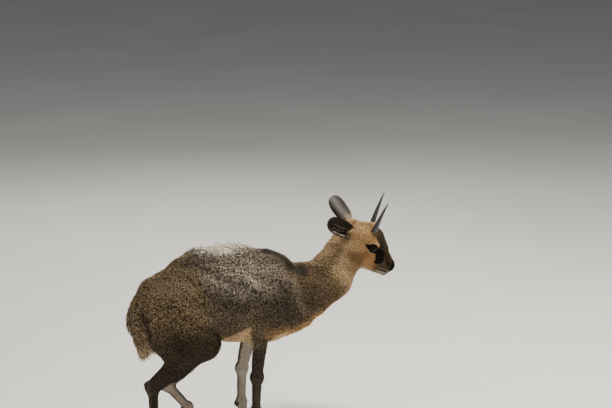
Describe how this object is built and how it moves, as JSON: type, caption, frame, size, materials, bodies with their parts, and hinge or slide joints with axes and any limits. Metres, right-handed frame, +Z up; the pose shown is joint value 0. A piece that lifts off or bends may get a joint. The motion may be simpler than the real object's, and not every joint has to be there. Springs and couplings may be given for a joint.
{
  "type": "klipspringer",
  "caption": "Life-size small antelope buck standing on the tips of its hooves, back arched, head low and tilted, with short spike horns and a coarse speckled coat.",
  "frame": {"origin": "on the floor under the middle of the animal's bounding box", "axes": "+X the way the animal faces, +Y its left side, +Z up"},
  "size_m": [0.7206, 0.2024, 0.6191],
  "materials": {
    "coat": "coarse speckled hair, matte",
    "horn": "dark horn, satin",
    "eye": "wet dark eye, glossy"
  },
  "bodies": {
    "root": {"torso": "coat", "neck": "coat", "head": "coat", "tail": "coat", "ear_left": "coat", "eye_left": "eye", "horn_left": "horn", "shoulder_left": "coat", "forearm_left": "coat", "fore_cannon_left": "coat", "thigh_left": "coat", "hind_shank_left": "coat", "hind_cannon_left": "coat", "hoof_fore_left_inner": "horn", "dewclaw_fore_left_inner": "horn", "hoof_fore_left_outer": "horn", "dewclaw_fore_left_outer": "horn", "hoof_hind_left_inner": "horn", "dewclaw_hind_left_inner": "horn", "hoof_hind_left_outer": "horn", "dewclaw_hind_left_outer": "horn", "ear_right": "coat", "eye_right": "eye", "horn_right": "horn", "shoulder_right": "coat", "forearm_right": "coat", "fore_cannon_right": "coat", "thigh_right": "coat", "hind_shank_right": "coat", "hind_cannon_right": "coat", "hoof_fore_right_inner": "horn", "dewclaw_fore_right_inner": "horn", "hoof_fore_right_outer": "horn", "dewclaw_fore_right_outer": "horn", "hoof_hind_right_inner": "horn", "dewclaw_hind_right_inner": "horn", "hoof_hind_right_outer": "horn", "dewclaw_hind_right_outer": "horn"}
  },
  "joints": []
}
